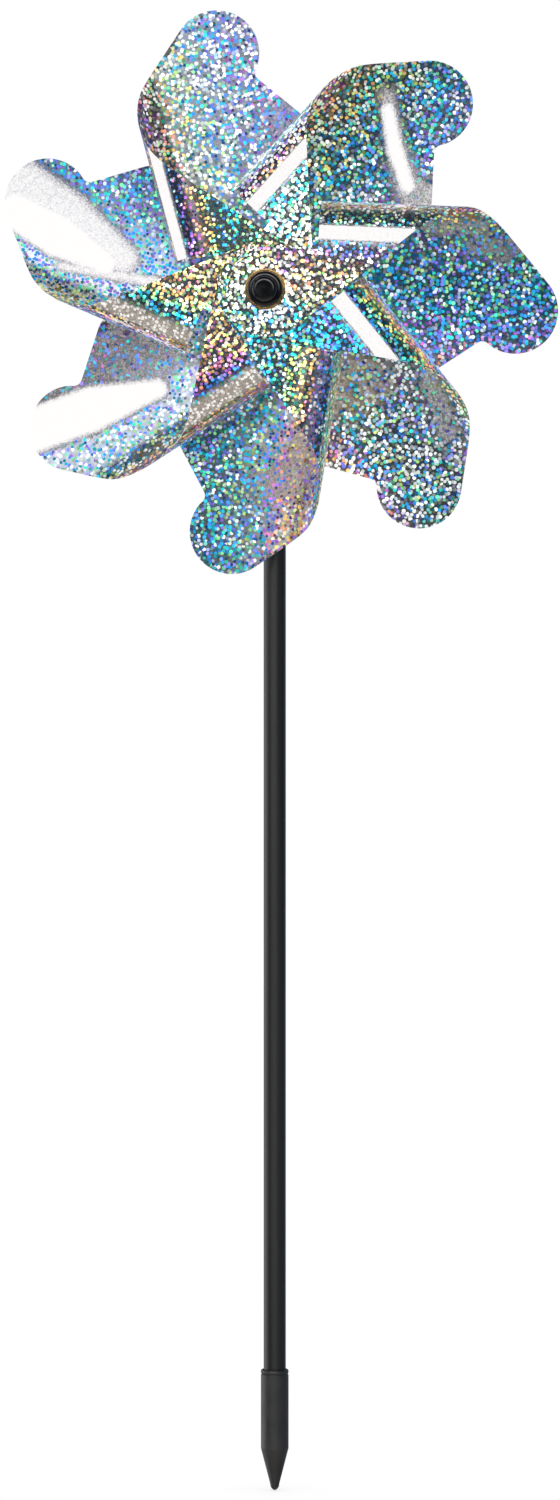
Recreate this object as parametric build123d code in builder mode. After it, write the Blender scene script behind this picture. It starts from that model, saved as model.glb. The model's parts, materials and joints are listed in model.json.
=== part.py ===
"""Garden pinwheel: seven curled film blades on a hub, turning on a pin at the top of a stake.

Frame: +Z up, the wheel faces -Y, +X to the viewer's right. The origin is on the stake's axis,
at the ground spike's shoulder, where its cone meets its straight body. Millimetres.
"""

import os
from math import cos, radians, sin, sqrt, tan

from build123d import *

# ---- wheel ----
BLADE_COUNT = 7
HUB_HEIGHT = 625.0
FILM = 0.25
STACK_PITCH = 0.3  # one film plus the air between two films
TOP_FLAP = 3  # the blade whose flap lies in front of all others, and whose lobe points at +X

# ---- one blade, in its own (u, v): u runs along the curl, v across it, (0, 0) on the axle ----
# Each film is rolled by hand: how far its curl lies anticlockwise of the blade's regular place,
# how far its outline is turned from the curl, and how far the curl's outside is from the axle.
CURL_TURN = {1: 2.1, 2: -3.7, 3: -2.5, 4: 0.4, 5: 3.5, 6: 6.8, 7: 2.8}
OUTLINE_TURN = {1: 2.4, 2: 6.0, 3: 1.8, 4: 2.2, 5: 3.8, 6: 5.7, 7: 5.2}
CURL_EDGE = {1: 44.3, 2: 50.0, 3: 48.2, 4: 43.9, 5: 44.6, 6: 44.1, 7: 48.6}
CURL_START = 27.0
FLAP_ANGLE = 38.7  # direction of the flap's band
FLAP_FREE_OFFSET = 25.7  # free edge of the band, clockwise of the axle
FLAP_INNER_OFFSET = 19.4  # inner edge of the band, anticlockwise of the axle
FLAP_CORNER = 22.0
SHEET_TILT = 5.0  # the back sheet leans, clockwise side to the rear
SHEET_BEND_START = -10.0
SHEET_BEND_RADIUS = 330.0
SHEET_BEND = 8.0
LOBE_CENTRE = (130.2, -9.3)
LOBE_RADIUS = 22.8
LOBE_LEAVE = 41.0  # direction in which the outer edge leaves the lobe's circle
NOTCH = (111.5, -26.0)
NOTCH_RADIUS = 4.5
SHOULDER = (80.0, -46.5)
SHOULDER_RADIUS = 10.0
NECK_WIDTH = 15.0
NECK_FLAT_END = 18.0
NECK_END = 24.0
TAB_RADIUS = 8.5

# ---- depths, measured forward from the stake's axis ----
WASHER_REAR = 11.0
WASHER_THICKNESS = 0.8
REAR_EYELET_REAR = 12.1
FLANGE = 0.5
REAR_STACK = REAR_EYELET_REAR + FLANGE
SHEET_DEPTH = 14.5  # back sheet, level with the axle
FRONT_STACK = 55.5
STACK_THICKNESS = (BLADE_COUNT - 1) * STACK_PITCH + FILM
EYELET_PLAY = 0.05
FRONT_FLANGE = 0.9
FLANGE_ROUND = 0.6  # of the flange's thickness
FRONT_WASHER_REAR = 58.8
FRONT_WASHER_THICKNESS = 2.6
FRONT_WASHER_ROUND = 2.1
PIN_HEAD_HEIGHT = 3.2
PIN_HEAD_ROUND = 2.2

# ---- hub radii ----
PIN_RADIUS = 2.0
RUNNING_CLEARANCE = 0.05
SPIGOT_RADIUS = 3.0
BARREL_RADIUS = 3.5
HOLE_CLEARANCE = 0.1
TUBE_RADIUS = 4.5
REAR_FLANGE_RADIUS = 6.5
FRONT_FLANGE_RADIUS = 10.8
FRONT_WASHER_RADIUS = 9.45
REAR_WASHER_RADIUS = 7.0
PIN_HEAD_RADIUS = 6.75
DIMPLE_RADIUS = 1.1
DIMPLE_DEPTH = 0.5
PIN_CHAMFER = 0.5
NUT_RADIUS = 5.0
NUT_DEPTH = 11.5
NUT_ROUND = 1.2
PIN_REAR = 10.0
SADDLE_START = 3.0

# ---- stake ----
ROD_RADIUS = 6.0
ROD_BORE = 4.5
ROD_BOTTOM = 7.0
ROD_TOP = 641.0
PLUG_SPIGOT = 9.0
PLUG_HEAD = 2.2
PLUG_ROUND = 1.5
SPIKE_RADIUS = 7.5
SPIKE_TOP = 41.0
SPIKE_POINT = -23.0
SPIKE_TIP_RADIUS = 2.4
SPIKE_TIP_HEIGHT = 3.2
COLLAR_CHAMFER = 1.2
LEAD_IN = 0.7

HUB = Vector(0, 0, HUB_HEIGHT)


def face_plane(turn=0.0, depth=0.0):
    """A plane across the axle, seen from the front: x to the right, turned anticlockwise."""
    right = Vector(cos(radians(turn)), 0, sin(radians(turn)))
    return Plane(origin=HUB - Vector(0, depth, 0), x_dir=right, z_dir=(0, -1, 0))


def axle_section():
    """A plane through the axle, for revolved hub pieces: x is the radius, y the depth."""
    return Plane(origin=HUB, x_dir=(1, 0, 0), z_dir=(0, 0, -1))


def finish(piece, name):
    piece.part.label = name
    export_step(piece.part, f"parts/{name}.step")


def make_turned(name, outline, rim_round=0.0):
    """A hub piece turned about the axle, from its half section in (radius, depth).

    rim_round rounds the front edge of its widest part.
    """
    with BuildPart() as piece:
        with BuildSketch(axle_section()):
            with BuildLine():
                Polyline(*outline, close=True)
            make_face()
        revolve(axis=Axis(HUB, (0, -1, 0)))
        if rim_round:
            rims = piece.edges().filter_by(GeomType.CIRCLE).group_by(SortBy.RADIUS)
            fillet(rims[-1].sort_by(Axis.Y)[0], rim_round)
    finish(piece, name)


# ---- blades ----
def flap_outline(turn, split):
    """The front of the blade: a band that runs to the axle and ends round behind the pin head."""
    along = Vector(cos(radians(FLAP_ANGLE + turn)), sin(radians(FLAP_ANGLE + turn)))
    across = Vector(-along.Y, along.X)
    inner = across * FLAP_INNER_OFFSET
    free = across * -FLAP_FREE_OFFSET
    half_width = (FLAP_INNER_OFFSET + FLAP_FREE_OFFSET) / 2
    end = (inner + free) / 2 - along * half_width
    corner = inner + along * ((FLAP_CORNER - inner.Y) / along.Y)
    free_end = free + along * ((split - free.Y) / along.Y)
    with BuildLine() as outline:
        Polyline(inner, corner, (CURL_START, FLAP_CORNER), (CURL_START, split), free_end, free)
        ThreePointArc(free, end, inner)
    return outline, free_end.X


def sheet_outline(turn, split):
    """The back of the blade: root, shoulder, notch and round lobe, up to the curl."""
    lobe = Vector(*LOBE_CENTRE).rotate(Axis.Z, turn)
    shoulder = Vector(*SHOULDER).rotate(Axis.Z, turn)
    notch_side = Vector(*NOTCH).rotate(Axis.Z, turn) - lobe
    notch = lobe + notch_side.normalized() * LOBE_RADIUS
    lobe_tip = lobe + Vector(LOBE_RADIUS, 0)
    leave = radians(LOBE_LEAVE + turn)
    lobe_end = lobe + Vector(cos(leave), sin(leave)) * LOBE_RADIUS
    outer_end = (lobe_end.X - (split - lobe_end.Y) * tan(leave), split)
    half_neck = NECK_WIDTH / 2
    with BuildLine() as outline:
        Polyline((NECK_END, half_neck), (NECK_END, -half_neck), shoulder, notch)
        ThreePointArc(notch, lobe_tip, lobe_end)
        Polyline(
            lobe_end,
            outer_end,
            (CURL_START, split),
            (CURL_START, FLAP_CORNER),
            (NECK_END, half_neck),
        )
    corners = {"notch": notch, "shoulder": shoulder}
    return outline, outer_end[0], corners


def make_blade(number):
    """One blade of film. In both stacks the blades lie in the same order round the wheel."""
    stack = (number - TOP_FLAP) % BLADE_COUNT
    turn = (TOP_FLAP - number) * 360 / BLADE_COUNT + CURL_TURN[number]
    outline_turn = OUTLINE_TURN[number]
    curl_edge = CURL_EDGE[number]
    flap_depth = FRONT_STACK + (BLADE_COUNT - 1 - stack) * STACK_PITCH + FILM / 2
    tab_depth = REAR_STACK + stack * STACK_PITCH

    # The curl is round, and tangent to the flap in front and to the leaning sheet behind.
    tilt = radians(SHEET_TILT)
    gap = flap_depth - SHEET_DEPTH - curl_edge * tan(tilt)
    radius = gap / (1 + 1 / cos(tilt) - tan(tilt))
    centre = (curl_edge - radius, flap_depth - radius)
    split = centre[0] + radius / sqrt(2)
    front_split = centre[1] + radius / sqrt(2)
    back_split = centre[1] - radius / sqrt(2)

    face = face_plane(turn)
    section = Plane(origin=HUB, x_dir=face.y_dir, z_dir=face.x_dir)
    side = Plane(origin=HUB, x_dir=face.x_dir, z_dir=-face.y_dir)
    flap, free_end = flap_outline(outline_turn, split)
    sheet, outer_end, corners = sheet_outline(outline_turn, split)
    reach = LOBE_CENTRE[0] + 2 * LOBE_RADIUS
    far = 2 * curl_edge

    # What the film's outline leaves of the curled sheet: from the front, the side and the rear.
    with BuildPart() as kept:
        with BuildSketch(face.offset(centre[1])):
            add(flap.line)
            make_face()
        extrude(amount=far)
        with BuildSketch(face.offset(centre[1])) as back:
            add(sheet.line)
            make_face()
            fillet(back.vertices().sort_by_distance(corners["notch"])[0], NOTCH_RADIUS)
            fillet(back.vertices().sort_by_distance(corners["shoulder"])[0], SHOULDER_RADIUS)
        extrude(amount=-far)
        with BuildSketch(side.offset(-far)):
            with BuildLine():
                Polyline(
                    (free_end, front_split),
                    (CURL_START, front_split),
                    (CURL_START, back_split),
                    (outer_end, back_split),
                    close=True,
                )
            make_face()
        extrude(amount=far - split)

    with BuildPart() as blade:
        with BuildSketch(section.offset(-far)):
            with BuildLine() as profile:
                front = Line((-far / 2, flap_depth), (centre[0], flap_depth))
                curl = CenterArc(centre, radius, 90, SHEET_TILT - 180)
                lean = PolarLine(
                    curl @ 1,
                    (curl @ 1).X - SHEET_BEND_START,
                    direction=curl % 1,
                    length_mode=LengthMode.HORIZONTAL,
                )
                JernArc(lean @ 1, lean % 1, SHEET_BEND_RADIUS, -SHEET_BEND)
            trace(profile.line, FILM)
        extrude(amount=far + reach)
        add(kept.part, mode=Mode.INTERSECT)
        # The tab lies flat in the rear stack, and its neck rises to meet the leaning sheet.
        with BuildSketch(face.offset(tab_depth)):
            Circle(TAB_RADIUS)
            Rectangle(NECK_FLAT_END, NECK_WIDTH, align=(Align.MIN, Align.CENTER))
        extrude(amount=FILM)
        with BuildSketch(section.offset(NECK_FLAT_END)):
            with Locations((0, tab_depth + FILM / 2)):
                Rectangle(NECK_WIDTH, FILM)
        with BuildSketch(section.offset(NECK_END)):
            with Locations((0, SHEET_DEPTH)):
                Rectangle(NECK_WIDTH * cos(tilt), FILM, rotation=SHEET_TILT)
        loft()
        with BuildSketch(face):
            Circle(BARREL_RADIUS + HOLE_CLEARANCE)
        extrude(amount=far, mode=Mode.SUBTRACT)
    finish(blade, f"blade_{number}")


# ---- hub pieces that turn with the wheel ----
def make_eyelet(name, rear, rear_radius, front_flange, front_radius):
    """A brass eyelet: a barrel through the seven films, with a flange on each side of them."""
    stack_front = rear + FLANGE + STACK_THICKNESS + EYELET_PLAY
    front = stack_front + front_flange
    outline = [
        (SPIGOT_RADIUS, rear),
        (rear_radius, rear),
        (rear_radius, rear + FLANGE),
        (BARREL_RADIUS, rear + FLANGE),
        (BARREL_RADIUS, stack_front),
        (front_radius, stack_front),
        (front_radius, front),
        (SPIGOT_RADIUS, front),
    ]
    make_turned(name, outline, front_flange * FLANGE_ROUND)
    return front


def make_hub_tube(rear_end, rear_shoulder, front_shoulder, front_end):
    """The bearing tube: it holds the two stacks apart, and a spigot at each end fits an eyelet."""
    bore = PIN_RADIUS + RUNNING_CLEARANCE
    outline = [
        (bore, rear_end),
        (SPIGOT_RADIUS, rear_end),
        (SPIGOT_RADIUS, rear_shoulder),
        (TUBE_RADIUS, rear_shoulder),
        (TUBE_RADIUS, front_shoulder),
        (SPIGOT_RADIUS, front_shoulder),
        (SPIGOT_RADIUS, front_end),
        (bore, front_end),
    ]
    make_turned("hub_tube", outline)


# ---- hub pieces that stay with the stake ----
def make_front_washer():
    bore = PIN_RADIUS + RUNNING_CLEARANCE
    front = FRONT_WASHER_REAR + FRONT_WASHER_THICKNESS
    outline = [
        (bore, FRONT_WASHER_REAR),
        (FRONT_WASHER_RADIUS, FRONT_WASHER_REAR),
        (FRONT_WASHER_RADIUS, front),
        (bore, front),
    ]
    make_turned("front_washer", outline, FRONT_WASHER_ROUND)


def make_axle_pin():
    """The pin and its head: a low dome with a small dimple in the middle."""
    head_rear = FRONT_WASHER_REAR + FRONT_WASHER_THICKNESS
    head_front = head_rear + PIN_HEAD_HEIGHT
    outline = [
        (0, -PIN_REAR),
        (PIN_RADIUS - PIN_CHAMFER, -PIN_REAR),
        (PIN_RADIUS, PIN_CHAMFER - PIN_REAR),
        (PIN_RADIUS, head_rear),
        (PIN_HEAD_RADIUS, head_rear),
        (PIN_HEAD_RADIUS, head_front),
        (DIMPLE_RADIUS, head_front),
        (0, head_front - DIMPLE_DEPTH),
    ]
    make_turned("axle_pin", outline, PIN_HEAD_ROUND)


def make_ring(name, rear, front, outer, bore, saddle=False):
    """A plain ring on the pin. With a saddle, its rod side is hollowed to sit on the stake."""
    with BuildPart() as ring:
        with BuildSketch(face_plane(depth=rear)):
            Circle(outer)
            Circle(bore, mode=Mode.SUBTRACT)
        extrude(amount=front - rear)
        if saddle:
            with BuildSketch(Plane.XY.offset(HUB_HEIGHT - 2 * outer)):
                Circle(ROD_RADIUS)
            extrude(amount=4 * outer, mode=Mode.SUBTRACT)
    finish(ring, name)


def make_pin_nut():
    """The push-on nut behind the stake: blind, round-backed, and hollowed to sit on the stake."""
    with BuildPart() as nut:
        with BuildSketch(face_plane(depth=-SADDLE_START)):
            Circle(NUT_RADIUS)
        extrude(amount=SADDLE_START - NUT_DEPTH)
        fillet(nut.edges().filter_by(GeomType.CIRCLE).sort_by(Axis.Y)[-1], NUT_ROUND)
        with BuildSketch(face_plane(depth=-PIN_REAR)):
            Circle(PIN_RADIUS)
        extrude(amount=PIN_REAR, mode=Mode.SUBTRACT)
        with BuildSketch(Plane.XY.offset(HUB_HEIGHT - 2 * NUT_RADIUS)):
            Circle(ROD_RADIUS)
        extrude(amount=4 * NUT_RADIUS, mode=Mode.SUBTRACT)
    finish(nut, "pin_nut")


# ---- stake ----
def make_stake_rod():
    with BuildPart() as rod:
        with BuildSketch(Plane.XY.offset(ROD_BOTTOM)):
            Circle(ROD_RADIUS)
            Circle(ROD_BORE, mode=Mode.SUBTRACT)
        extrude(amount=ROD_TOP - ROD_BOTTOM)
        with BuildSketch(face_plane()):
            Circle(PIN_RADIUS)
        extrude(amount=2 * ROD_RADIUS, both=True, mode=Mode.SUBTRACT)
    finish(rod, "stake_rod")


def make_rod_plug():
    """The plug that closes the top of the tube, with a low domed head."""
    with BuildPart() as plug:
        with BuildSketch(Plane.XY.offset(ROD_TOP)):
            Circle(ROD_RADIUS)
        extrude(amount=PLUG_HEAD)
        fillet(plug.edges().sort_by(Axis.Z)[-1], PLUG_ROUND)
        with BuildSketch(Plane.XY.offset(ROD_TOP)):
            Circle(ROD_BORE)
        extrude(amount=-PLUG_SPIGOT)
    finish(plug, "rod_plug")


def make_ground_spike():
    """A socket for the tube, a straight body and a cone with a rounded point."""
    tip_edge = (SPIKE_TIP_RADIUS, SPIKE_POINT + SPIKE_TIP_HEIGHT)
    with BuildPart() as spike:
        with BuildSketch(Plane.XZ):
            with BuildLine():
                Polyline(
                    tip_edge,
                    (SPIKE_RADIUS, 0),
                    (SPIKE_RADIUS, SPIKE_TOP - COLLAR_CHAMFER),
                    (SPIKE_RADIUS - COLLAR_CHAMFER / 2, SPIKE_TOP),
                    (ROD_RADIUS + LEAD_IN / 2, SPIKE_TOP),
                    (ROD_RADIUS, SPIKE_TOP - LEAD_IN),
                    (ROD_RADIUS, ROD_BOTTOM),
                    (0, ROD_BOTTOM),
                    (0, SPIKE_POINT),
                )
                RadiusArc((0, SPIKE_POINT), tip_edge, -SPIKE_TIP_HEIGHT)
            make_face()
        revolve(axis=Axis.Z)
    finish(spike, "ground_spike")


os.makedirs("parts", exist_ok=True)
for blade_number in range(1, BLADE_COUNT + 1):
    make_blade(blade_number)
rear_eyelet_front = make_eyelet(
    "rear_eyelet", REAR_EYELET_REAR, REAR_FLANGE_RADIUS, FLANGE, REAR_FLANGE_RADIUS
)
front_eyelet_rear = FRONT_STACK - FLANGE
front_eyelet_front = make_eyelet(
    "front_eyelet", front_eyelet_rear, REAR_FLANGE_RADIUS, FRONT_FLANGE, FRONT_FLANGE_RADIUS
)
make_hub_tube(REAR_EYELET_REAR, rear_eyelet_front, front_eyelet_rear, front_eyelet_front)
make_front_washer()
make_axle_pin()
make_ring(
    "rear_washer",
    WASHER_REAR,
    WASHER_REAR + WASHER_THICKNESS,
    REAR_WASHER_RADIUS,
    PIN_RADIUS + RUNNING_CLEARANCE,
)
make_ring("rear_spacer", SADDLE_START, WASHER_REAR, TUBE_RADIUS, PIN_RADIUS, saddle=True)
make_pin_nut()
make_stake_rod()
make_rod_plug()
make_ground_spike()
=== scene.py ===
"""Garden pinwheel: the looks, built round its CAD frame. Metres; the wheel faces -Y, +Z is up."""

import json
from collections import namedtuple
from math import atan2, cos, pi, radians, sin, sqrt, tan

import bpy
import numpy as np
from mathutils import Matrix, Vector
from mathutils.geometry import delaunay_2d_cdt


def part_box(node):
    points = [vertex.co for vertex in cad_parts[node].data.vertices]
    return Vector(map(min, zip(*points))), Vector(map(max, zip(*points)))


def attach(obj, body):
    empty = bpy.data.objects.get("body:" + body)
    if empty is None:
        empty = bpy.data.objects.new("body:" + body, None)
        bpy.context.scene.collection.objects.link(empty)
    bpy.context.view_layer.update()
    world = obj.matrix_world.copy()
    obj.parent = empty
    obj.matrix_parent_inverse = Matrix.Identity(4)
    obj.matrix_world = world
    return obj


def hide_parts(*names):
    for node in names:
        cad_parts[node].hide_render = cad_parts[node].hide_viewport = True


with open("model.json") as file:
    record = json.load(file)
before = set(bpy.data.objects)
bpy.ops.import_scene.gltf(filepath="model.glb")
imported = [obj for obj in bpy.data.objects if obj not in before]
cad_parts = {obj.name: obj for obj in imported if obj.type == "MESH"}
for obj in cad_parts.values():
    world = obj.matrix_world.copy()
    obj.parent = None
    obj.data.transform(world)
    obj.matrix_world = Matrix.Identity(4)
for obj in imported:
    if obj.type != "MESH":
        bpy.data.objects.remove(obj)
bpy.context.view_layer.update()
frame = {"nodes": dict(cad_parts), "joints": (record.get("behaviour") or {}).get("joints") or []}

MM = 0.001
HUB = Vector(frame["joints"][0]["pos_m"])
BLADE_COUNT = 7
TOP_FLAP = 3
FILM = 0.25  # thickness, in millimetres

# ---- one blade, in millimetres: u runs along its curl, v across it, (0, 0) on the axle ----
CURL_TURN = {1: 2.1, 2: -3.7, 3: -2.5, 4: 0.4, 5: 3.5, 6: 6.8, 7: 2.8}
OUTLINE_TURN = {1: 2.4, 2: 6.0, 3: 1.8, 4: 2.2, 5: 3.8, 6: 5.7, 7: 5.2}
CURL_EDGE = {1: 44.3, 2: 50.0, 3: 48.2, 4: 43.9, 5: 44.6, 6: 44.1, 7: 48.6}
CURL_START = 27.0
FLAP_ANGLE = 38.7
FLAP_FREE_OFFSET = 25.7
FLAP_INNER_OFFSET = 19.4
FLAP_CORNER = 22.0
SHEET_DEPTH = 14.5
REAR_STACK = 12.6
STACK_PITCH = 0.3
LOBE_CENTRE = (130.2, -9.3)
LOBE_RADIUS = 22.8
LOBE_LEAVE = 41.0
NOTCH = (111.5, -26.0)
NOTCH_RADIUS = 4.5
SHOULDER = (80.0, -46.5)
SHOULDER_RADIUS = 10.0
NECK_HALF_WIDTH = 7.5
NECK_END = 24.0
TAB_RADIUS = 8.5
AXLE_HOLE = 3.7
# How far the back sheet leans, in degrees, at some distances v from the axle. The last one is
# also its lean where it leaves the curl.
LEAN_AT = (-55.0, -25.0, 0.0, 26.0)
LEAN = (-5.0, 1.0, 5.0, 11.0)
CURL_EASE = 0.85  # of the curl's radius: the length over which the film starts to curl
FLAP_REACH = 45.0  # how far the profile runs past the axle, on the flap ...
SHEET_REACH = 70.0  # ... and on the back sheet
TAB_RISE = (16.0, 26.0)  # where, along u, the tab's stack depth eases into the sheet's own
MESH_PITCH = 2.2

# ---- how the film's dots look: places in the spectrum, 0 teal, 0.14 blue, 0.28 violet, 0.42
# magenta, 0.55 orange, 0.68 gold, 0.8 green, then teal again ----
FLAP_V = (-25.0, 0.0, 14.0, 22.0, 30.0, 42.0)
FLAP_HUE = {
    1: (0.70, 0.85, 1.00, 0.72, 0.40, 0.15),
    2: (0.60, 0.75, 0.95, 1.04, 1.08, 0.62),
    3: (0.65, 0.72, 0.58, 0.26, 0.14, 0.05),
    4: (0.85, 1.00, 1.09, 1.14, 1.18, 1.00),
    5: (0.95, 1.00, 0.98, 0.86, 0.66, 0.35),
    6: (0.62, 0.60, 0.58, 0.56, 0.10, -0.05),
    7: (0.66, 0.64, 0.62, 0.74, 1.04, 0.95),
}
# Round the axle the flaps share one play of colours, by the angle from the viewer's right.
HUB_ANGLE = (0.0, 50.0, 90.0, 140.0, 185.0, 225.0, 270.0, 315.0, 360.0)
HUB_HUE = (0.64, 0.42, 0.70, 0.74, 0.80, 0.98, 1.02, 1.10, 0.64)
# Share of coloured dots: on the flap near the axle and near the curl, and on the sheet.
VIVID = {
    1: (0.28, 0.80, 0.45),
    2: (0.30, 0.32, 0.62),
    3: (0.26, 0.45, 0.76),
    4: (0.45, 0.88, 0.42),
    5: (0.30, 0.66, 0.72),
    6: (0.42, 0.75, 0.48),
    7: (0.36, 0.66, 0.80),
}
# How bright the dots are, as a painted glint they glow with: on the flap near the axle, near
# the curl, and on the sheet.
BRIGHT = {
    1: (1.18, 0.16, 0.86),
    2: (1.30, 1.35, 0.84),
    3: (1.22, 0.60, 0.92),
    4: (1.25, 1.20, 0.86),
    5: (1.25, 0.75, 0.72),
    6: (1.20, 0.80, 0.76),
    7: (1.25, 0.95, 0.70),
}
SHEET_V = (-35.0, -10.0, 10.0, 30.0)
SHEET_HUE = {
    1: (0.24, 0.16, 0.02, -0.25),
    2: (0.18, 0.12, 0.02, -0.12),
    3: (0.28, 0.10, 0.04, 0.08),
    4: (0.62, -0.05, 0.05, 0.20),
    5: (0.08, 0.04, 0.00, 0.66),
    6: (0.20, 0.18, 0.12, 0.08),
    7: (0.12, 0.09, 0.12, 0.14),
}
# Painted reflection: the grey the film would mirror between its dots, painted on as glow, on the
# flap and on the sheet at SHEET_V.
FLAP_GREY = (0.012, 0.013, 0.017)
SHEET_GREY = {
    1: ((0.15, 0.15, 0.29), (0.12, 0.13, 0.23), (0.05, 0.06, 0.09), (0.03, 0.03, 0.035)),
    2: ((0.13, 0.11, 0.11), (0.045, 0.06, 0.08), (0.02, 0.035, 0.055), (0.025, 0.025, 0.03)),
    3: ((0.06, 0.06, 0.08), (0.02, 0.045, 0.065), (0.015, 0.04, 0.06), (0.06, 0.06, 0.065)),
    4: ((0.08, 0.06, 0.045), (0.03, 0.03, 0.03), (0.018, 0.028, 0.036), (0.10, 0.10, 0.10)),
    5: ((0.012, 0.03, 0.045), (0.015, 0.035, 0.05), (0.07, 0.07, 0.08), (0.24, 0.21, 0.20)),
    6: ((0.035, 0.025, 0.03), (0.05, 0.04, 0.045), (0.18, 0.18, 0.21), (0.07, 0.09, 0.15)),
    7: ((0.008, 0.025, 0.08), (0.01, 0.035, 0.09), (0.17, 0.19, 0.25), (0.32, 0.31, 0.33)),
}
# Round patches of the sheet where the painted reflection has a grey of its own: place (u, v),
# reach, grey.
TONES = {
    4: [((66, 2), 34, (0.15, 0.115, 0.08))],
    5: [((92, 22), 30, (0.20, 0.165, 0.15))],
}
# Painted highlights: white sheens painted on the sheet where it would mirror the studio's white.
# Each runs through some (u, v, half width) points, and has a soft edge and a strength. A full
# sheen is white, a half one hides the dots in a fine grain.
PAINTED_SHEENS = {
    1: [(((88, -30, 5), (70, -26, 5)), 14.0, 0.28)],
    2: [
        (((118, 24, 0.5), (102, 4, 2.0), (90, -16, 4.0), (90, -33, 7)), 12.0, 0.42),
        (((113, 19, 0.0), (100, 2, 1.0), (90, -16, 0.5)), 7.5, 0.86),
    ],
    3: [
        (((106, 28, 2), (126, 27, 4)), 9.0, 0.27),
        (((84, 38, 2), (112, 38, 2)), 7.0, 0.30),
    ],
    4: [
        (((88, 35, 2), (104, 32, 3), (118, 26, 3)), 8.0, 0.32),
        (((58, -12, 10), (70, 10, 6)), 16.0, 0.25),
    ],
    5: [(((78, 33, 2), (96, 28, 3), (104, 14, 2)), 20.0, 0.28)],
    6: [
        (((150, -7, 7), (115, 1, 7), (80, 11, 0)), 10.0, 1.0),
        (((125, -16, 6), (100, -14, 15), (72, -12, 20)), 7.0, 0.31),
    ],
    7: [
        (((144, 14, 5), (117, 17.5, 6.5), (88, 21, 1)), 9.0, 1.0),
        (((146, 0, 9), (117, 7, 10), (80, 15, 3)), 12.0, 0.62),
        (((110, 32, 0), (76, 24, 0.5), (60, 20, 1)), 5.0, 0.60),
    ],
}


def turned(point, degrees):
    a = radians(degrees)
    x, y = point
    return np.array((x * cos(a) - y * sin(a), x * sin(a) + y * cos(a)))


def arc(centre, radius, start, end, step=4.0):
    """Points on a circle from one angle to another, in degrees, both ends included."""
    count = max(2, int(abs(end - start) / step) + 1)
    angles = np.radians(np.linspace(start, end, count))
    return [np.array((centre[0] + radius * cos(a), centre[1] + radius * sin(a))) for a in angles]


def rounded(before, corner, after, radius):
    """Points on the arc that rounds a corner."""
    a = (before - corner) / np.linalg.norm(before - corner)
    b = (after - corner) / np.linalg.norm(after - corner)
    half = np.arccos(np.clip(a @ b, -1, 1)) / 2
    middle = (a + b) / np.linalg.norm(a + b)
    centre = corner + middle * radius / sin(half)
    start = corner + a * radius / tan(half) - centre
    end = corner + b * radius / tan(half) - centre
    first = np.degrees(atan2(start[1], start[0]))
    sweep = (np.degrees(atan2(end[1], end[0])) - first + 180) % 360 - 180
    return arc(centre, radius, first, first + sweep, 12.0)


# ---- the curled film ----
class Profile:
    """The line the film follows across its curl: front flap, round curl, leaning back sheet.

    Arc length s is 0 at the axle on the flap, and grows towards the curl and down the back.
    """

    def __init__(self, number):
        stack = (number - TOP_FLAP) % BLADE_COUNT
        low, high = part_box(f"blade_{number}")
        self.flap_depth = -low.y / MM - FILM / 2
        self.tab_depth = REAR_STACK + stack * STACK_PITCH + FILM / 2
        edge = CURL_EDGE[number]
        unit = self.unit_curl()
        drop = -unit[-1, 1]
        # The curl reaches out to its edge and drops by the gap between flap and sheet: the gap
        # depends on where the curl ends, so the radius is found in a few rounds.
        radius = 19.0
        for _ in range(20):
            shift = edge - radius * unit[:, 0].max()
            leave = shift + radius * unit[-1, 0]
            radius = (self.flap_depth - self.back_depth(leave)) / drop
        self.radius = radius
        self.flap_end = shift
        self.split = edge - radius * (1 - 1 / sqrt(2))
        curl = radius * unit + (shift, self.flap_depth)
        front = np.array([(v, self.flap_depth) for v in np.linspace(-FLAP_REACH, shift, 30)])
        rear = np.array([(v, self.back_depth(v)) for v in np.linspace(leave, -SHEET_REACH, 60)])
        line = np.vstack((front[:-1], curl, rear[1:]))
        steps = np.hypot(*np.diff(line, axis=0).T)
        s = np.concatenate(([0], np.cumsum(steps)))
        self.s = s - np.interp(0, front[:, 0], s[: len(front)])
        self.line = line
        self.top = int(np.argmax(line[:, 0]))
        self.s_top = self.s[self.top]

    def unit_curl(self):
        """A curl of radius 1 that eases in from the flat flap and turns back on itself."""
        length = CURL_EASE / 2 + radians(180 - LEAN[-1])
        steps = np.linspace(0, length, 400)
        bend = np.minimum(steps / CURL_EASE, 1)
        heading = np.concatenate(([0], np.cumsum((bend[1:] + bend[:-1]) / 2 * np.diff(steps))))
        path = np.c_[np.cos(heading), -np.sin(heading)]
        moves = (path[1:] + path[:-1]) / 2 * np.diff(steps)[:, None]
        return np.vstack(([0, 0], np.cumsum(moves, axis=0)))[::4]

    def back_depth(self, v):
        """Depth of the back sheet, from its lean summed from the axle outwards."""
        steps = np.linspace(0, v, 40)
        slopes = np.tan(np.radians(np.interp(steps, LEAN_AT, LEAN)))
        return SHEET_DEPTH + np.sum((slopes[1:] + slopes[:-1]) / 2 * np.diff(steps))

    def on_front(self, v):
        return float(np.interp(v, self.line[: self.top + 1, 0], self.s[: self.top + 1]))

    def on_back(self, v):
        v_back = self.line[self.top :, 0][::-1]
        return float(np.interp(v, v_back, self.s[self.top :][::-1]))

    def place(self, s):
        """(v, depth) at arc lengths s."""
        return np.interp(s, self.s, self.line[:, 0]), np.interp(s, self.s, self.line[:, 1])


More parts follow.
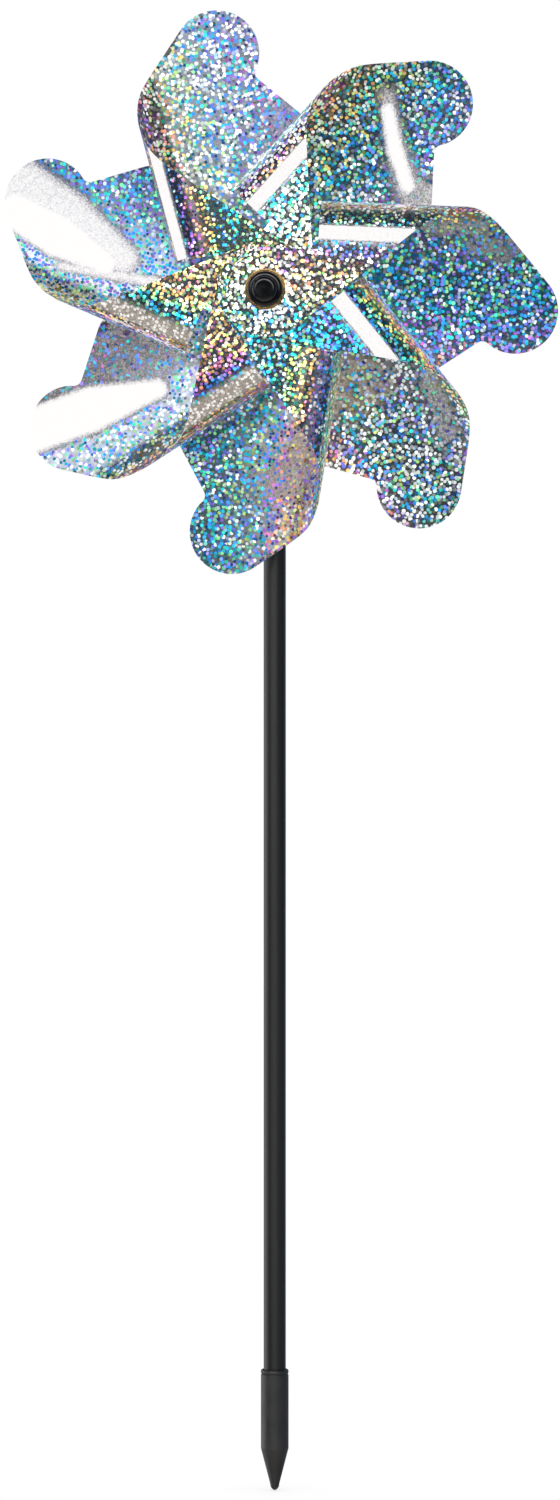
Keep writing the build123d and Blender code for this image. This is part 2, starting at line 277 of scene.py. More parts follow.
def flap_edge(turn, split):
    """The flap's cut edge, from its inner corner round the axle to where the curl's edge starts,
    and the direction it leaves in."""
    along = turned((1, 0), FLAP_ANGLE + turn)
    across = turned((0, 1), FLAP_ANGLE + turn)
    inner = across * FLAP_INNER_OFFSET
    free = across * -FLAP_FREE_OFFSET
    half_width = (FLAP_INNER_OFFSET + FLAP_FREE_OFFSET) / 2
    corner = inner + along * (FLAP_CORNER - inner[1]) / along[1]
    free_end = free + along * (split - free[1]) / along[1]
    first = FLAP_ANGLE + turn + 90
    round_end = arc((inner + free) / 2, half_width, first, first + 180)
    return [corner, *round_end, free, free_end], along


def curl_edge(start, end, s_start, s_end, along, leave):
    """The cut edge round the curl: a smooth curve from the flap's free edge to the outer edge."""
    span = s_end - s_start
    out_start = along[0] / along[1] * span
    out_end = tan(radians(leave)) * span
    points = []
    for t in np.linspace(0, 1, 22)[1:]:
        u = start + (end - start) * smooth(t, 0, 1)
        u += out_start * t * (1 - t) ** 2 - out_end * t * t * (1 - t)
        points.append((u, s_start + span * t))
    return points


def sheet_edge(turn, leave):
    """The back sheet's cut edge: lobe, notch, shoulder, neck, and the tab round the axle."""
    lobe = turned(LOBE_CENTRE, turn)
    shoulder = turned(SHOULDER, turn)
    notch_side = turned(NOTCH, turn) - lobe
    notch_angle = np.degrees(atan2(notch_side[1], notch_side[0]))
    last = notch_angle + 14
    notch = lobe + LOBE_RADIUS * turned((1, 0), notch_angle)
    lobe_end = lobe + LOBE_RADIUS * turned((1, 0), last)
    neck_low = np.array((NECK_END, -NECK_HALF_WIDTH))
    neck_high = np.array((NECK_END, NECK_HALF_WIDTH))
    points = arc(lobe, LOBE_RADIUS, leave, last)
    points += rounded(lobe_end, notch, shoulder, NOTCH_RADIUS)
    points += rounded(notch, shoulder, neck_low, SHOULDER_RADIUS)
    reach = np.degrees(atan2(NECK_HALF_WIDTH, sqrt(TAB_RADIUS**2 - NECK_HALF_WIDTH**2)))
    tab = arc((0, 0), TAB_RADIUS, -reach, reach - 360)
    return [*points, neck_low, *tab, neck_high, np.array((CURL_START, FLAP_CORNER))]


def flat_outline(number, profile):
    """The cut edge of the film laid flat, in (u, s)."""
    turn = OUTLINE_TURN[number]
    leave = LOBE_LEAVE + turn
    split = profile.split
    flap, along = flap_edge(turn, split)
    lobe_start = turned(LOBE_CENTRE, turn) + LOBE_RADIUS * turned((1, 0), leave)
    outer_end = lobe_start + turned((0, 1), leave) * (split - lobe_start[1]) / cos(radians(leave))
    points = [(p[0], profile.on_front(p[1])) for p in flap]
    s_front, s_back = profile.on_front(split), profile.on_back(split)
    points += curl_edge(flap[-1][0], outer_end[0], s_front, s_back, along, leave)
    points += [(p[0], profile.on_back(p[1])) for p in sheet_edge(turn, leave)]
    points.append((CURL_START, profile.on_front(FLAP_CORNER)))
    return np.array(points)


def resampled(loop, step):
    """A closed outline with no gap between its points longer than step."""
    out = []
    for a, b in zip(loop, np.roll(loop, -1, axis=0)):
        count = max(1, int(np.ceil(np.linalg.norm(b - a) / step)))
        out += [a + (b - a) * i / count for i in range(count)]
    return np.array(out)


def inside(points, loop):
    """Which points are inside a closed loop: those that an odd number of its edges pass."""
    x, y = points[:, 0], points[:, 1]
    within = np.zeros(len(points), bool)
    for (x1, y1), (x2, y2) in zip(loop, np.roll(loop, -1, axis=0)):
        if y1 == y2:
            continue
        crosses = (y1 > y) != (y2 > y)
        within ^= crosses & (x < (x2 - x1) * (y - y1) / (y2 - y1) + x1)
    return within


def flat_mesh(outline, holes):
    """Even triangles inside an outline, with its holes left out."""
    loops = [resampled(outline, MESH_PITCH * 0.6)] + holes
    row = MESH_PITCH * sqrt(3) / 2
    low, high = outline.min(axis=0), outline.max(axis=0)
    grid = []
    for j, y in enumerate(np.arange(low[1], high[1], row)):
        for x in np.arange(low[0] + (j % 2) * MESH_PITCH / 2, high[0], MESH_PITCH):
            grid.append((x, y))
    grid = np.array(grid)
    keep = inside(grid, loops[0])
    for hole in holes:
        keep &= ~inside(grid, hole)
    border = np.vstack(loops)
    grid = grid[keep]
    gap = np.array([np.min(np.hypot(*(border - g).T)) for g in grid])
    grid = grid[gap > MESH_PITCH * 0.5]
    edges, first = [], 0
    for loop in loops:
        count = len(loop)
        edges += [(first + i, first + (i + 1) % count) for i in range(count)]
        first += count
    points = [Vector(p) for p in np.vstack((border, grid))]
    verts, _, faces, *_ = delaunay_2d_cdt(points, edges, [], 0, 1e-5)
    verts = np.array([tuple(v) for v in verts])
    faces = np.array([f for f in faces if len(f) == 3])
    middle = verts[faces].mean(axis=1)
    keep = inside(middle, loops[0])
    for hole in holes:
        keep &= ~inside(middle, hole)
    return verts, faces[keep]


def smooth(x, low, high):
    t = np.clip((x - low) / (high - low), 0, 1)
    return t * t * (3 - 2 * t)


def blade_turn(number):
    return (TOP_FLAP - number) * 360 / BLADE_COUNT + CURL_TURN[number]


def rolled(number, profile, flat):
    """The film's middle surface in the part's frame, in metres, from its flat points (u, s)."""
    u, s = flat[:, 0], flat[:, 1]
    v, depth = profile.place(s)
    on_back = s > profile.s_top
    near_tab = on_back & (u < TAB_RISE[1])
    rise = smooth(u, *TAB_RISE)
    depth = np.where(near_tab, profile.tab_depth + (depth - profile.tab_depth) * rise, depth)
    turn = radians(blade_turn(number))
    x = u * cos(turn) - v * sin(turn)
    z = u * sin(turn) + v * cos(turn)
    return np.c_[x, -depth, z] * MM + np.array(HUB)


def from_segment(points, a, b):
    """Distance of each point from the segment a to b, and how far along it is nearest."""
    a, b = np.array(a, float), np.array(b, float)
    share = np.clip((points - a) @ (b - a) / ((b - a) @ (b - a)), 0, 1)
    return np.linalg.norm(points - a - share[:, None] * (b - a), axis=1), share


def dot_hue(number, u, v, back):
    """The dots' place in the spectrum: shared round the axle, then the blade's own."""
    angle = np.degrees(np.arctan2(v, u)) + blade_turn(number)
    hub = np.interp(angle % 360, HUB_ANGLE, HUB_HUE)
    flap = np.interp(v, FLAP_V, FLAP_HUE[number])
    flap = hub + (flap - hub) * smooth(np.hypot(u, v), 14.0, 30.0)
    sheet = np.interp(v, SHEET_V, SHEET_HUE[number])
    return flap + (sheet - flap) * back


def dot_amount(table, number, u, v, back):
    """An amount that the table gives near the axle, near the curl and on the sheet."""
    hub, curl, sheet = table[number]
    amount = hub + (curl - hub) * smooth(np.hypot(u, v), 9.0, 36.0)
    return amount + (sheet - amount) * back


# Painted highlight: how strongly the white sheens are painted at each point.
def painted_sheen_amount(number, u, v):
    sheen = np.zeros(len(u))
    for line, soft, strength in PAINTED_SHEENS[number]:
        for a, b in zip(line, line[1:]):
            away, share = from_segment(np.c_[u, v], a[:2], b[:2])
            away -= a[2] + (b[2] - a[2]) * share
            sheen = np.maximum(sheen, strength * (1 - smooth(away, 0, soft)))
    return sheen


def grey_tone(number, u, v, back):
    """The painted reflection, a grey mirrored between the dots, as red, green and blue."""
    grey = np.zeros((len(u), 3))
    for i in range(3):
        sheet = np.interp(v, SHEET_V, [tone[i] for tone in SHEET_GREY[number]])
        grey[:, i] = FLAP_GREY[i] + (sheet - FLAP_GREY[i]) * back
    for place, reach, tone in TONES.get(number, []):
        share = 1 - smooth(np.hypot(u - place[0], v - place[1]), reach * 0.3, reach)
        grey += (np.array(tone) - grey) * (share * back)[:, None]
    return grey


def film_looks(number, profile, flat):
    """Two colours per point: (spectrum place, share of coloured dots, brightness of the dots' painted
    glint, painted white sheen), and the painted reflection's grey between the dots with how far
    the point is off the flat flap."""
    u, s = flat[:, 0], flat[:, 1]
    v, _ = profile.place(s)
    back = smooth(s, profile.s_top - 8, profile.s_top + 14)
    hue = dot_hue(number, u, v, back)
    vivid = dot_amount(VIVID, number, u, v, back)
    bright = dot_amount(BRIGHT, number, u, v, back)
    sheen = painted_sheen_amount(number, u, v) * smooth(s, profile.s_top + 6, profile.s_top + 12)
    curl = smooth(s, profile.flap_end, profile.flap_end + 6)
    return np.c_[hue, vivid, bright, sheen], np.c_[grey_tone(number, u, v, back), curl]


def new_piece(name, verts, faces):
    """An object with a new mesh, in the scene."""
    mesh = bpy.data.meshes.new(name)
    mesh.from_pydata(verts, [], faces)
    piece = bpy.data.objects.new(name, mesh)
    bpy.context.scene.collection.objects.link(piece)
    return piece


def point_normals(points, faces):
    a, b, c = (points[faces[:, i]] for i in range(3))
    face_normal = np.cross(b - a, c - a)
    normal = np.zeros_like(points)
    for i in range(3):
        np.add.at(normal, faces[:, i], face_normal)
    return normal / np.linalg.norm(normal, axis=1)[:, None]


def closed_sheet(name, middle, faces, uv, thickness):
    """A closed thin solid on both sides of a middle surface, with a sharp rim along its cuts.

    The faces on the normal's side and the rim take the first material, the others the second.
    """
    offset = point_normals(middle, faces) * thickness / 2
    count = len(middle)
    directed = {(int(f[i]), int(f[(i + 1) % 3])) for f in faces for i in range(3)}
    rim = sorted(edge for edge in directed if edge[::-1] not in directed)
    polygons = [tuple(int(i) for i in f) for f in faces]
    polygons += [tuple(int(i) + count for i in f[::-1]) for f in faces]
    polygons += [(q, p, p + count, q + count) for p, q in rim]
    verts = [tuple(p) for p in np.vstack((middle + offset, middle - offset))]
    piece = new_piece(name, verts, polygons)
    mesh = piece.data

    layer = mesh.uv_layers.new(name="film")
    index = np.zeros(len(mesh.loops), int)
    mesh.loops.foreach_get("vertex_index", index)
    layer.data.foreach_set("uv", uv[index % count].astype(np.float32).ravel())
    material = np.zeros(len(polygons), int)
    material[len(faces) : 2 * len(faces)] = 1
    mesh.polygons.foreach_set("material_index", material)
    mesh.polygons.foreach_set("use_smooth", np.ones(len(polygons), bool))
    cuts = {frozenset(edge) for edge in rim} | {frozenset((p + count, q + count)) for p, q in rim}
    sharp = [frozenset(e.vertices) in cuts for e in mesh.edges]
    mesh.attributes.new("sharp_edge", "BOOLEAN", "EDGE").data.foreach_set("value", sharp)
    mesh.validate()
    mesh.update()
    return piece


def make_blade(number, outer_film, inner_film):
    profile = Profile(number)
    outline = flat_outline(number, profile)
    holes = [
        np.array([(p[0], p[1] + s) for p in arc((0, 0), AXLE_HOLE, 0, 345, 15)])
        for s in (0.0, profile.on_back(0.0))
    ]
    flat, faces = flat_mesh(outline, holes)
    middle = rolled(number, profile, flat)
    piece = closed_sheet(f"film_blade_{number}", middle, faces, flat * MM, FILM * MM)
    for name, values in zip(("dots", "grey"), film_looks(number, profile, flat)):
        layer = piece.data.attributes.new(name, "FLOAT_COLOR", "POINT")
        layer.data.foreach_set("color", np.vstack((values, values)).astype(np.float32).ravel())
    piece.data.materials.append(outer_film)
    piece.data.materials.append(inner_film)
    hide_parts(f"blade_{number}")
    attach(piece, "wheel")


# ---- material helpers ----
class Nodes:
    """A small helper that adds nodes to a material or world and joins them up."""

    def __init__(self, owner):
        owner.use_nodes = True
        self.tree = owner.node_tree
        self.tree.nodes.clear()

    def add(self, kind, inputs=None, **settings):
        node = self.tree.nodes.new(kind)
        for name, value in settings.items():
            setattr(node, name, value)
        for name, value in (inputs or {}).items():
            self.feed(node.inputs[name], value)
        return node

    def feed(self, socket, value):
        if isinstance(value, bpy.types.NodeSocket):
            self.tree.links.new(value, socket)
        else:
            socket.default_value = value

    def math(self, operation, a, b=0.0, c=0.0):
        node = self.add("ShaderNodeMath", operation=operation)
        for socket, value in zip(node.inputs, (a, b, c)):
            self.feed(socket, value)
        return node.outputs[0]

    def vector(self, operation, a, b=(0, 0, 0), scale=None):
        node = self.add("ShaderNodeVectorMath", operation=operation)
        self.feed(node.inputs[0], a)
        self.feed(node.inputs[1], b)
        if scale is not None:
            self.feed(node.inputs["Scale"], scale)
        return node.outputs["Value" if operation == "DOT_PRODUCT" else "Vector"]

    def split(self, colour):
        """The red, green and blue of a colour as three numbers."""
        return self.add("ShaderNodeSeparateColor", {"Color": colour}).outputs[:3]

    def ramp(self, value, stops):
        node = self.add("ShaderNodeValToRGB", {"Fac": value})
        ramp = node.color_ramp
        while len(ramp.elements) < len(stops):
            ramp.elements.new(0.5)
        for element, (position, colour) in zip(ramp.elements, stops):
            element.position = position
            element.color = (*colour, 1)
        return node.outputs["Color"]

    def remap(self, value, low, high, to_low=0.0, to_high=1.0):
        """A smooth step from one value to another between low and high."""
        inputs = {"Value": value, "From Min": low, "From Max": high}
        inputs |= {"To Min": to_low, "To Max": to_high}
        return self.add("ShaderNodeMapRange", inputs, interpolation_type="SMOOTHSTEP").outputs[0]

    def mix(self, factor, a, b, blend="MIX"):
        node = self.add("ShaderNodeMix", data_type="RGBA", blend_type=blend)
        self.feed(node.inputs[0], factor)
        self.feed(node.inputs[6], a)
        self.feed(node.inputs[7], b)
        return node.outputs[2]

    def noise(self, vector, scale, detail, roughness=0.5):
        inputs = {"Vector": vector, "Scale": scale, "Detail": detail, "Roughness": roughness}
        return self.add("ShaderNodeTexNoise", inputs).outputs[0]

    def mix_shader(self, factor, a, b):
        node = self.add("ShaderNodeMixShader", {0: factor})
        self.feed(node.inputs[1], a)
        self.feed(node.inputs[2], b)
        return node.outputs[0]

    def surface(self, shader, kind="ShaderNodeOutputMaterial"):
        self.feed(self.add(kind).inputs["Surface"], shader)


def rgb(r, g, b):
    return (r, g, b, 1.0)


# ---- film ----
# Places in the spectrum (see FLAP_HUE) and their colours.
SPECTRUM = [
    (0.00, (0.02, 0.52, 0.68)),
    (0.14, (0.04, 0.28, 0.90)),
    (0.28, (0.24, 0.18, 0.85)),
    (0.40, (0.50, 0.15, 0.62)),
    (0.50, (0.90, 0.30, 0.18)),
    (0.68, (1.00, 0.72, 0.22)),
    (0.80, (0.42, 0.80, 0.25)),
    (0.92, (0.05, 0.70, 0.48)),
    (1.00, (0.02, 0.52, 0.68)),
]

# What the film mirrors: the direction of each patch (right, towards the viewer, up), its half
# angle and soft edge in degrees, and its colour. The white ones light the curls, and straight
# towards the viewer it is dark.
PATCHES = [
    ((-0.09, 1.0, 0.44), 13.5, 5.5, (3.0, 2.95, 2.9)),
    ((-0.46, 1.0, 0.34), 15.5, 5.0, (2.6, 2.55, 2.5)),
    ((0.25, 1.0, 0.33), 16.0, 5.0, (2.6, 2.55, 2.5)),
    ((-1.0, -0.2, 0.0), 26.0, 14.0, (1.6, 1.6, 1.6)),
    ((0.9, 0.5, -0.1), 18.0, 14.0, (0.10, 0.13, 0.22)),
    ((0.0, -1.0, 0.2), 60.0, 25.0, (0.25, 0.30, 0.38)),
]
# The ground below and before the wheel, in the same form.
GROUND = ((0.0, 0.45, -1.0), 40.0, 12.0, (0.42, 0.37, 0.31))


def patch_share(n, towards, aim, half, soft):
    """How far a direction is inside a soft round patch of the studio."""
    right, front, up = aim
    centre = tuple(Vector((right, -front, up)).normalized())
    facing = n.vector("DOT_PRODUCT", towards, centre)
    return n.remap(facing, cos(radians(half + soft)), cos(radians(max(half - soft, 0))))


Face = namedtuple("Face", "tilt roughness spread dot glow dulled shine mirrors_studio most_glare")
# The film's two faces. A dot's own normal leans by up to the tilt, its colour strays by the
# spread, and its radius starts at dot cells. Glow is the painted light of a dull and of a lit dot,
# and dulled the share of its mirror that a dot loses. Only the outer face mirrors the white
# patches; on the inner face the white is the painted sheen.
OUTER_FACE = Face(0.6, 0.12, 0.20, 0.38, (0.01, 1.0), 0.0, (0.88, 0.90, 0.92), True, 0.74)
INNER_FACE = Face(0.35, 0.22, 0.27, 0.43, (0.12, 1.2), 0.62, (0.13, 0.15, 0.18), False, 1.0)

DOT_PITCH = 1.9
DOT_GROWTH = 0.10  # how much larger a dot gets with brightness 1, in cells
DOT_VARIETY = 0.16  # how much larger the largest dots are than the smallest, in cells
DOT_EDGE = 0.18  # soft rim of a dot, in cells
PALE_DOT = (0.93, 0.97, 0.94)
HUE_FALL = -0.9  # how far the colour runs back round the spectrum as the film turns edge-on
DULL_SHARE = 0.68  # share of dull dots where the film's brightness is 0 ...
LIT_GAIN = 0.28  # ... and how much it falls for brightness 1
GRAIN_PITCH = 0.6
GRAIN_TONES = [(0.0, (0.72, 0.72, 0.72)), (0.6, (1.0, 1.0, 1.0)), (1.0, (1.4, 1.4, 1.4))]
GLARE_WHITE = (0.97, 0.955, 0.95)
GLARE_TINT = (1.0, 0.96, 0.97)
FLOOR_DARK = (0.36, 0.32, 0.28)
FLOOR_LIGHT = (0.90, 0.87, 0.84)


class FilmShader:
    """Mirror film printed with round grating dots, each with its own tilt and colour."""

    def __init__(self, name, face):
        self.material = bpy.data.materials.new(name)
        self.face = face
        self.n = n = Nodes(self.material)
        self.flat = n.add("ShaderNodeUVMap", uv_map="film").outputs[0]
        dots = n.add("ShaderNodeAttribute", attribute_name="dots").outputs
        self.hue, self.vivid, self.bright = n.split(dots["Color"])
        self.sheen = dots["Alpha"]
        grey = n.add("ShaderNodeAttribute", attribute_name="grey").outputs
        self.grey, self.curl = grey["Color"], grey["Alpha"]
        geometry = n.add("ShaderNodeNewGeometry").outputs
        self.normal, self.incoming = geometry["Normal"], geometry["Incoming"]
        self.cells = self.voronoi(DOT_PITCH)
        # Three random numbers of each dot, and one of each grain.
        self.chance = n.split(self.cells["Color"])
        self.grain = n.split(self.voronoi(GRAIN_PITCH)["Color"])[0]

    def voronoi(self, pitch):
        """Cells of a pitch in millimetres over the film laid flat."""
        inputs = {"Vector": self.flat, "Scale": 1 / (pitch * MM), "Randomness": 1.0}
        return self.n.add("ShaderNodeTexVoronoi", inputs, voronoi_dimensions="2D").outputs

    def dot_share(self):
        """1 inside a dot and 0 between the dots."""
        n = self.n
        size = n.math("MULTIPLY_ADD", self.bright, DOT_GROWTH, self.face.dot)
        size = n.math("MULTIPLY_ADD", self.chance[2], DOT_VARIETY, size)
        return n.remap(self.cells["Distance"], size, n.math("SUBTRACT", size, DOT_EDGE))

    def dot_normal(self):
        n = self.n
        lean = n.vector("SUBTRACT", self.cells["Color"], (0.5, 0.5, 0.5))
        lean = n.vector("SCALE", lean, scale=self.face.tilt)
        return n.vector("NORMALIZE", n.vector("ADD", self.normal, lean))

    def dot_colour(self):
        """Each dot's place in the spectrum, washed out in the dots that are not vivid."""
        n = self.n
        spread = self.face.spread
        facing = n.math("ABSOLUTE", n.vector("DOT_PRODUCT", self.normal, self.incoming))
        hue = n.math("MULTIPLY_ADD", n.math("SUBTRACT", 1.0, facing), HUE_FALL, self.hue)
        # The 4 keeps the sum above 0, so that its fraction runs on evenly.
        shift = n.math("MULTIPLY_ADD", self.chance[0], 2 * spread, 4.0 - spread)
        colour = n.ramp(n.math("FRACT", n.math("ADD", hue, shift)), SPECTRUM)
        pale = n.remap(n.math("SUBTRACT", self.vivid, self.chance[1]), -0.25, 0.15, 0.92, 0.0)
        return n.mix(pale, colour, rgb(*PALE_DOT))

    def dot_glow(self):
        """A painted glint: part of the dots glow as if they caught the light, and the brighter the
        film the more of them do.
        """
        n = self.n
        # Further digits of the same random numbers serve as fresh ones.
        draw = n.math("FRACT", n.math("MULTIPLY", self.chance[2], 7.31))
        level = n.math("FRACT", n.math("MULTIPLY", self.chance[0], 5.17))
        level = n.math("MULTIPLY_ADD", level, 0.55, 0.45)
        limit = n.math("MULTIPLY_ADD", self.bright, -LIT_GAIN, DULL_SHARE)
        lit = n.remap(n.math("SUBTRACT", draw, limit), -0.06, 0.08)
        dull, full = self.face.glow
        glow = n.math("MULTIPLY_ADD", n.math("MULTIPLY", lit, level), full - dull, dull)
        return n.math("MULTIPLY", glow, self.bright)

    def glare_and_floor(self):
        """How far the film is lit white here, and how far its curl mirrors the floor."""
        n = self.n
        if not self.face.mirrors_studio:
            # On the inner face the white comes from the painted sheens alone.
            return self.sheen, 0.0
        reflected = n.vector("SCALE", self.incoming, scale=-1.0)
        reflected = n.vector("REFLECT", reflected, self.normal)
        floor = patch_share(n, reflected, *GROUND[:3])
        glare = 0.0
        for aim, half, soft, tint in PATCHES:
            if min(tint) > 1:
                glare = n.math("MAXIMUM", glare, patch_share(n, reflected, aim, half, soft))
        glare = n.math("MINIMUM", glare, self.face.most_glare)
        return glare, n.math("MULTIPLY", floor, self.curl)

    def hidden_share(self, glare, floor):
        """How far the glare, or the floor's image, hides the dots: raggedly, dot by dot."""
        n = self.n
        ragged = n.math("MULTIPLY_ADD", self.chance[1], 0.30, -0.15)
        hidden = n.math("MAXIMUM", glare, n.math("MULTIPLY", floor, 0.5))
        return n.remap(n.math("ADD", hidden, ragged), 0.14, 0.38)

    def glare_colour(self, glare, floor, dot):
        """The fine grain that hides the dots: grey, speckled like the floor, or white."""
        n = self.n
        lift = n.math("MULTIPLY_ADD", n.math("MULTIPLY", glare, glare), 1.4, 0.03)
        tone = n.mix(lift, self.grey, rgb(*GLARE_TINT), "ADD")
        speckle = n.math("MULTIPLY", dot, n.remap(self.chance[0], 0.25, 0.7))
        tone = n.mix(floor, tone, n.mix(speckle, rgb(*FLOOR_DARK), rgb(*FLOOR_LIGHT)))
        tone = n.mix(1.0, tone, n.ramp(self.grain, GRAIN_TONES), "MULTIPLY")
        grainy = n.math("ADD", glare, n.math("MULTIPLY_ADD", self.grain, 0.24, -0.12))
        return n.mix(n.remap(grainy, 0.28, 0.80), tone, rgb(*GLARE_WHITE))

    def mirror(self):
        """The silver sheet between the dots, glowing with the grey of the painted reflection."""
        n = self.n
        shine = self.face.shine
        dim = tuple(c * 0.7 for c in shine)
        inputs = {
            "Base Color": n.mix(n.math("MULTIPLY", self.grain, 0.6), rgb(*shine), rgb(*dim)),
            "Metallic": 1.0,
            "Roughness": self.face.roughness,
            "Emission Color": self.grey,
            "Emission Strength": n.math("MULTIPLY_ADD", self.grain, 1.2, 0.4),
        }
        return n.add("ShaderNodeBsdfPrincipled", inputs).outputs[0]

    def spark(self):
        """One grating dot."""
        n = self.n
        colour = self.dot_colour()
        inputs = {
            "Base Color": n.mix(self.face.dulled, colour, rgb(0, 0, 0)),
            "Metallic": 1.0,
            "Roughness": 0.32,
            "Normal": self.dot_normal(),
            "Emission Color": colour,
            "Emission Strength": self.dot_glow(),
        }
        return n.add("ShaderNodeBsdfPrincipled", inputs).outputs[0]

    def build(self):
        n = self.n
        dot = self.dot_share()
        glare, floor = self.glare_and_floor()
        tone = self.glare_colour(glare, floor, dot)
        white = n.add("ShaderNodeEmission", {"Color": tone, "Strength": 1.04}).outputs[0]
        dotted = n.mix_shader(dot, self.mirror(), self.spark())
        n.surface(n.mix_shader(self.hidden_share(glare, floor), dotted, white))
        return self.material


# ---- hub and stake ----
# The lip of the spike, in millimetres: distance from the axis, height over the spike's top.
RIM_OUTLINE = [(6.05, -0.4), (7.3, -0.4), (7.55, 0.6), (7.35, 1.6), (6.9, 1.9), (6.5, 1.5), (6.3, 0.6)]
RIM_STEPS = 64


def plastic_material(name, colour, roughness, grain_scale, grain_depth, along_z=False):
    """Plastic with faint mottling, and a fine grain that can run along the stake."""
    material = bpy.data.materials.new(name)
    n = Nodes(material)
    place = n.add("ShaderNodeTexCoord").outputs["Object"]
    if along_z:
        place = n.vector("MULTIPLY", place, (1, 1, 0.02))
    grain = n.noise(place, grain_scale, 4.0, 0.6)
    mottle = n.noise(place, grain_scale * 0.08, 3.0)
    dark = tuple(c * 0.7 for c in colour)
    light = tuple(c * 1.35 for c in colour)
    bump = n.add("ShaderNodeBump", {"Height": grain, "Strength": 0.5, "Distance": grain_depth})
    inputs = {
        "Base Color": n.mix(mottle, rgb(*dark), rgb(*light)),
        "Roughness": n.remap(mottle, 0.3, 0.7, roughness - 0.06, roughness + 0.08),
        "Normal": bump.outputs[0],
    }
    n.surface(n.add("ShaderNodeBsdfPrincipled", inputs).outputs[0])
    return material


def brass_material():
    """Polished brass with fine wear, its colour darkened as a painted shade."""
    material = bpy.data.materials.new("polished_brass")
    n = Nodes(material)
    place = n.add("ShaderNodeTexCoord").outputs["Object"]
    wear = n.noise(place, 900.0, 4.0, 0.6)
    inputs = {
        "Base Color": n.mix(wear, rgb(0.36, 0.23, 0.08), rgb(0.62, 0.42, 0.16)),
        "Metallic": 1.0,
        "Roughness": n.remap(wear, 0.3, 0.7, 0.14, 0.26),
    }
    n.surface(n.add("ShaderNodeBsdfPrincipled", inputs).outputs[0])
    return material


def paint(node, material):
    """Gives a CAD node its material."""
    slots = frame["nodes"][node].data.materials
    slots.clear()
    slots.append(material)


def paint_hub_and_stake():
    gloss = plastic_material("gloss_black_plastic", (0.006, 0.006, 0.007), 0.10, 1500.0, 0.02 * MM)
    tube = plastic_material("white_tube_plastic", (0.62, 0.62, 0.60), 0.45, 900.0, 0.02 * MM)
    rod = plastic_material("black_rod_plastic", (0.012, 0.012, 0.013), 0.38, 2500.0, 0.03 * MM, True)
    spike = plastic_material("black_spike_plastic", (0.022, 0.022, 0.022), 0.45, 1200.0, 0.04 * MM)
    painted = {
        gloss: ("axle_pin", "front_washer"),
        tube: ("hub_tube", "rear_washer"),
        rod: ("stake_rod", "rod_plug", "rear_spacer", "pin_nut"),
        spike: ("ground_spike",),
        brass_material(): ("front_eyelet", "rear_eyelet"),
    }
    for material, nodes in painted.items():
        for node in nodes:
            paint(node, material)
    make_spike_rim(spike)


def make_spike_rim(material):
    """The thin moulded lip round the rod at the top of the spike."""
    _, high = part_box("ground_spike")
    verts, faces = [], []
    for i in range(RIM_STEPS):
        a = 2 * pi * i / RIM_STEPS
        verts += [(r * MM * cos(a), r * MM * sin(a), high.z + z * MM) for r, z in RIM_OUTLINE]
    count = len(RIM_OUTLINE)
    for i in range(RIM_STEPS):
        here, after = i * count, (i + 1) % RIM_STEPS * count
        for j in range(count):
            k = (j + 1) % count
            faces.append((here + j, after + j, after + k, here + k))
    rim = new_piece("spike_rim", verts, faces)
    rim.data.polygons.foreach_set("use_smooth", [True] * len(faces))
    rim.data.materials.append(material)
    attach(rim, "stake")


# ---- studio ----
MIRRORED_DARK = (0.012, 0.022, 0.034)  # what mirrors see between the patches
PLAIN_LIGHT = 0.55
FLOOR_HALF = 8.0
LENS = 155.96  # millimetres, for a frame 36 mm high
CAMERA_DISTANCE = 3.5
CAMERA_SIDE = 5.0  # degrees round to the wheel's right
CAMERA_DROP = 0.09  # below the axle
CAMERA_SHIFT = (0.0035, 0.0023)
AIM_HEIGHT = 0.3766
KEY_PLACE = (-1.2, -2.0, 2.2)
KEY_SIZE = 1.2
KEY_WATTS = 30.0


def make_world():
    """White for the camera, soft grey for plain surfaces, a studio of soft patches for mirrors."""
    world = bpy.data.worlds.new("studio")
    bpy.context.scene.world = world
    n = Nodes(world)
    towards = n.vector("NORMALIZE", n.add("ShaderNodeTexCoord").outputs["Generated"])
    total = rgb(*MIRRORED_DARK)
    for aim, half, soft, colour in [*PATCHES, GROUND]:
        patch = n.mix(patch_share(n, towards, aim, half, soft), rgb(0, 0, 0), rgb(*colour))
        total = n.mix(1.0, total, patch, "ADD")
    ray = n.add("ShaderNodeLightPath").outputs
    mirrors = n.add("ShaderNodeBackground", {"Color": total, "Strength": 1.0}).outputs[0]
    white = rgb(1, 1, 1)
    plain = n.add("ShaderNodeBackground", {"Color": white, "Strength": PLAIN_LIGHT}).outputs[0]
    seen = n.add("ShaderNodeBackground", {"Color": white, "Strength": 1.0}).outputs[0]
    lighting = n.mix_shader(ray["Is Glossy Ray"], plain, mirrors)
    n.surface(n.mix_shader(ray["Is Camera Ray"], lighting, seen), "ShaderNodeOutputWorld")


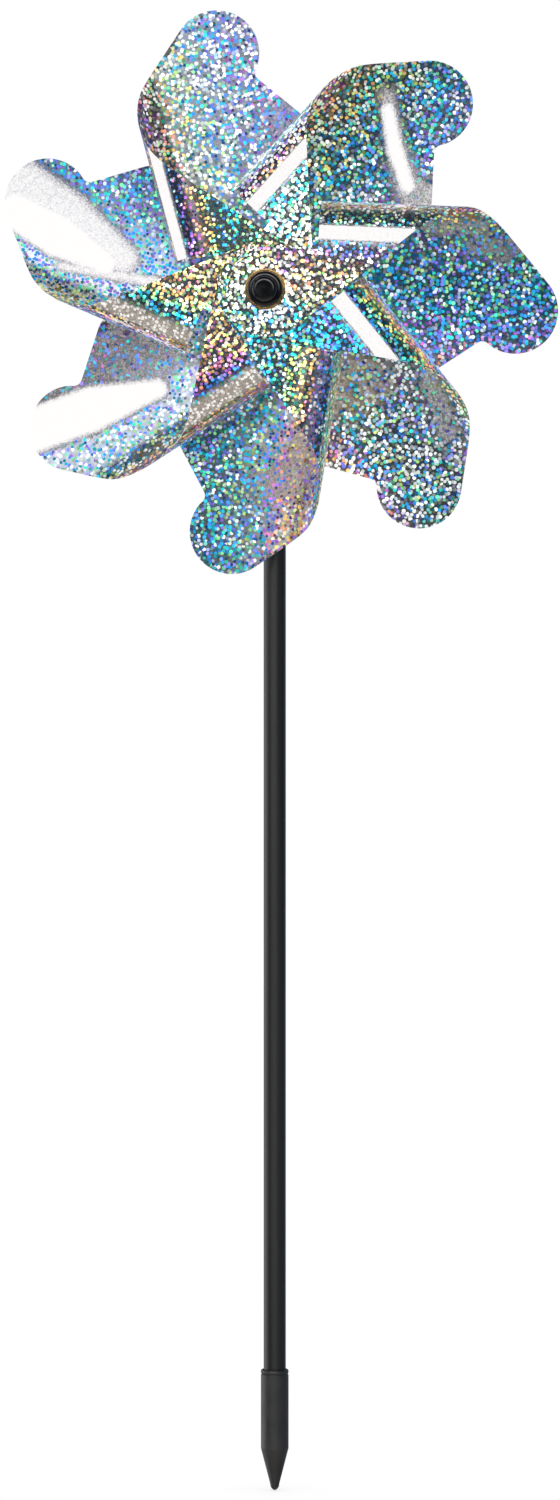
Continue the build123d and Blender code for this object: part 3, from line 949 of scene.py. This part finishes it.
def floor_material():
    """White, but for a painted shadow near what stands on it."""
    material = bpy.data.materials.new("pale_floor")
    n = Nodes(material)
    shade = n.add("ShaderNodeAmbientOcclusion", {"Distance": 0.05}, samples=8).outputs["AO"]
    tone = n.ramp(shade, [(0.0, (0.55, 0.55, 0.55)), (0.9, (1.0, 1.0, 1.0))])
    n.surface(n.add("ShaderNodeEmission", {"Color": tone, "Strength": 1.0}).outputs[0])
    return material


def make_floor():
    """A plain floor under the point of the spike."""
    low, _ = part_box("ground_spike")
    signs = ((-1, -1), (1, -1), (1, 1), (-1, 1))
    corners = [(x * FLOOR_HALF, y * FLOOR_HALF, low.z) for x, y in signs]
    floor = new_piece("floor", corners, [(0, 1, 2, 3)])
    floor.data.materials.append(floor_material())
    floor.visible_glossy = False


def make_key_light():
    """A soft square light above the camera's left. Mirrors see the world's patches instead."""
    data = bpy.data.lights.new("key", "AREA")
    data.size = KEY_SIZE
    data.energy = KEY_WATTS
    light = bpy.data.objects.new("key", data)
    light.location = KEY_PLACE
    light.rotation_euler = (HUB - light.location).to_track_quat("-Z", "Y").to_euler()
    light.visible_glossy = False
    bpy.context.scene.collection.objects.link(light)


def make_camera():
    """Nearly level with the wheel, in front of it and a little to its right."""
    side = radians(CAMERA_SIDE)
    data = bpy.data.cameras.new("camera")
    data.sensor_fit = "VERTICAL"
    data.sensor_height = 36.0
    data.lens = LENS
    data.shift_x, data.shift_y = CAMERA_SHIFT
    camera = bpy.data.objects.new("camera", data)
    x, y = CAMERA_DISTANCE * sin(side), -CAMERA_DISTANCE * cos(side)
    camera.location = (x, y, HUB.z - CAMERA_DROP)
    aim = Vector((0, 0, AIM_HEIGHT))
    camera.rotation_euler = (aim - camera.location).to_track_quat("-Z", "Y").to_euler()
    bpy.context.scene.collection.objects.link(camera)
    bpy.context.scene.camera = camera


def main():
    outer_film = FilmShader("film_outside", OUTER_FACE).build()
    inner_film = FilmShader("film_inside", INNER_FACE).build()
    for number in range(1, BLADE_COUNT + 1):
        make_blade(number, outer_film, inner_film)
    paint_hub_and_stake()
    make_world()
    make_floor()
    make_key_light()
    make_camera()
    bpy.context.scene.view_settings.view_transform = "Standard"


main()
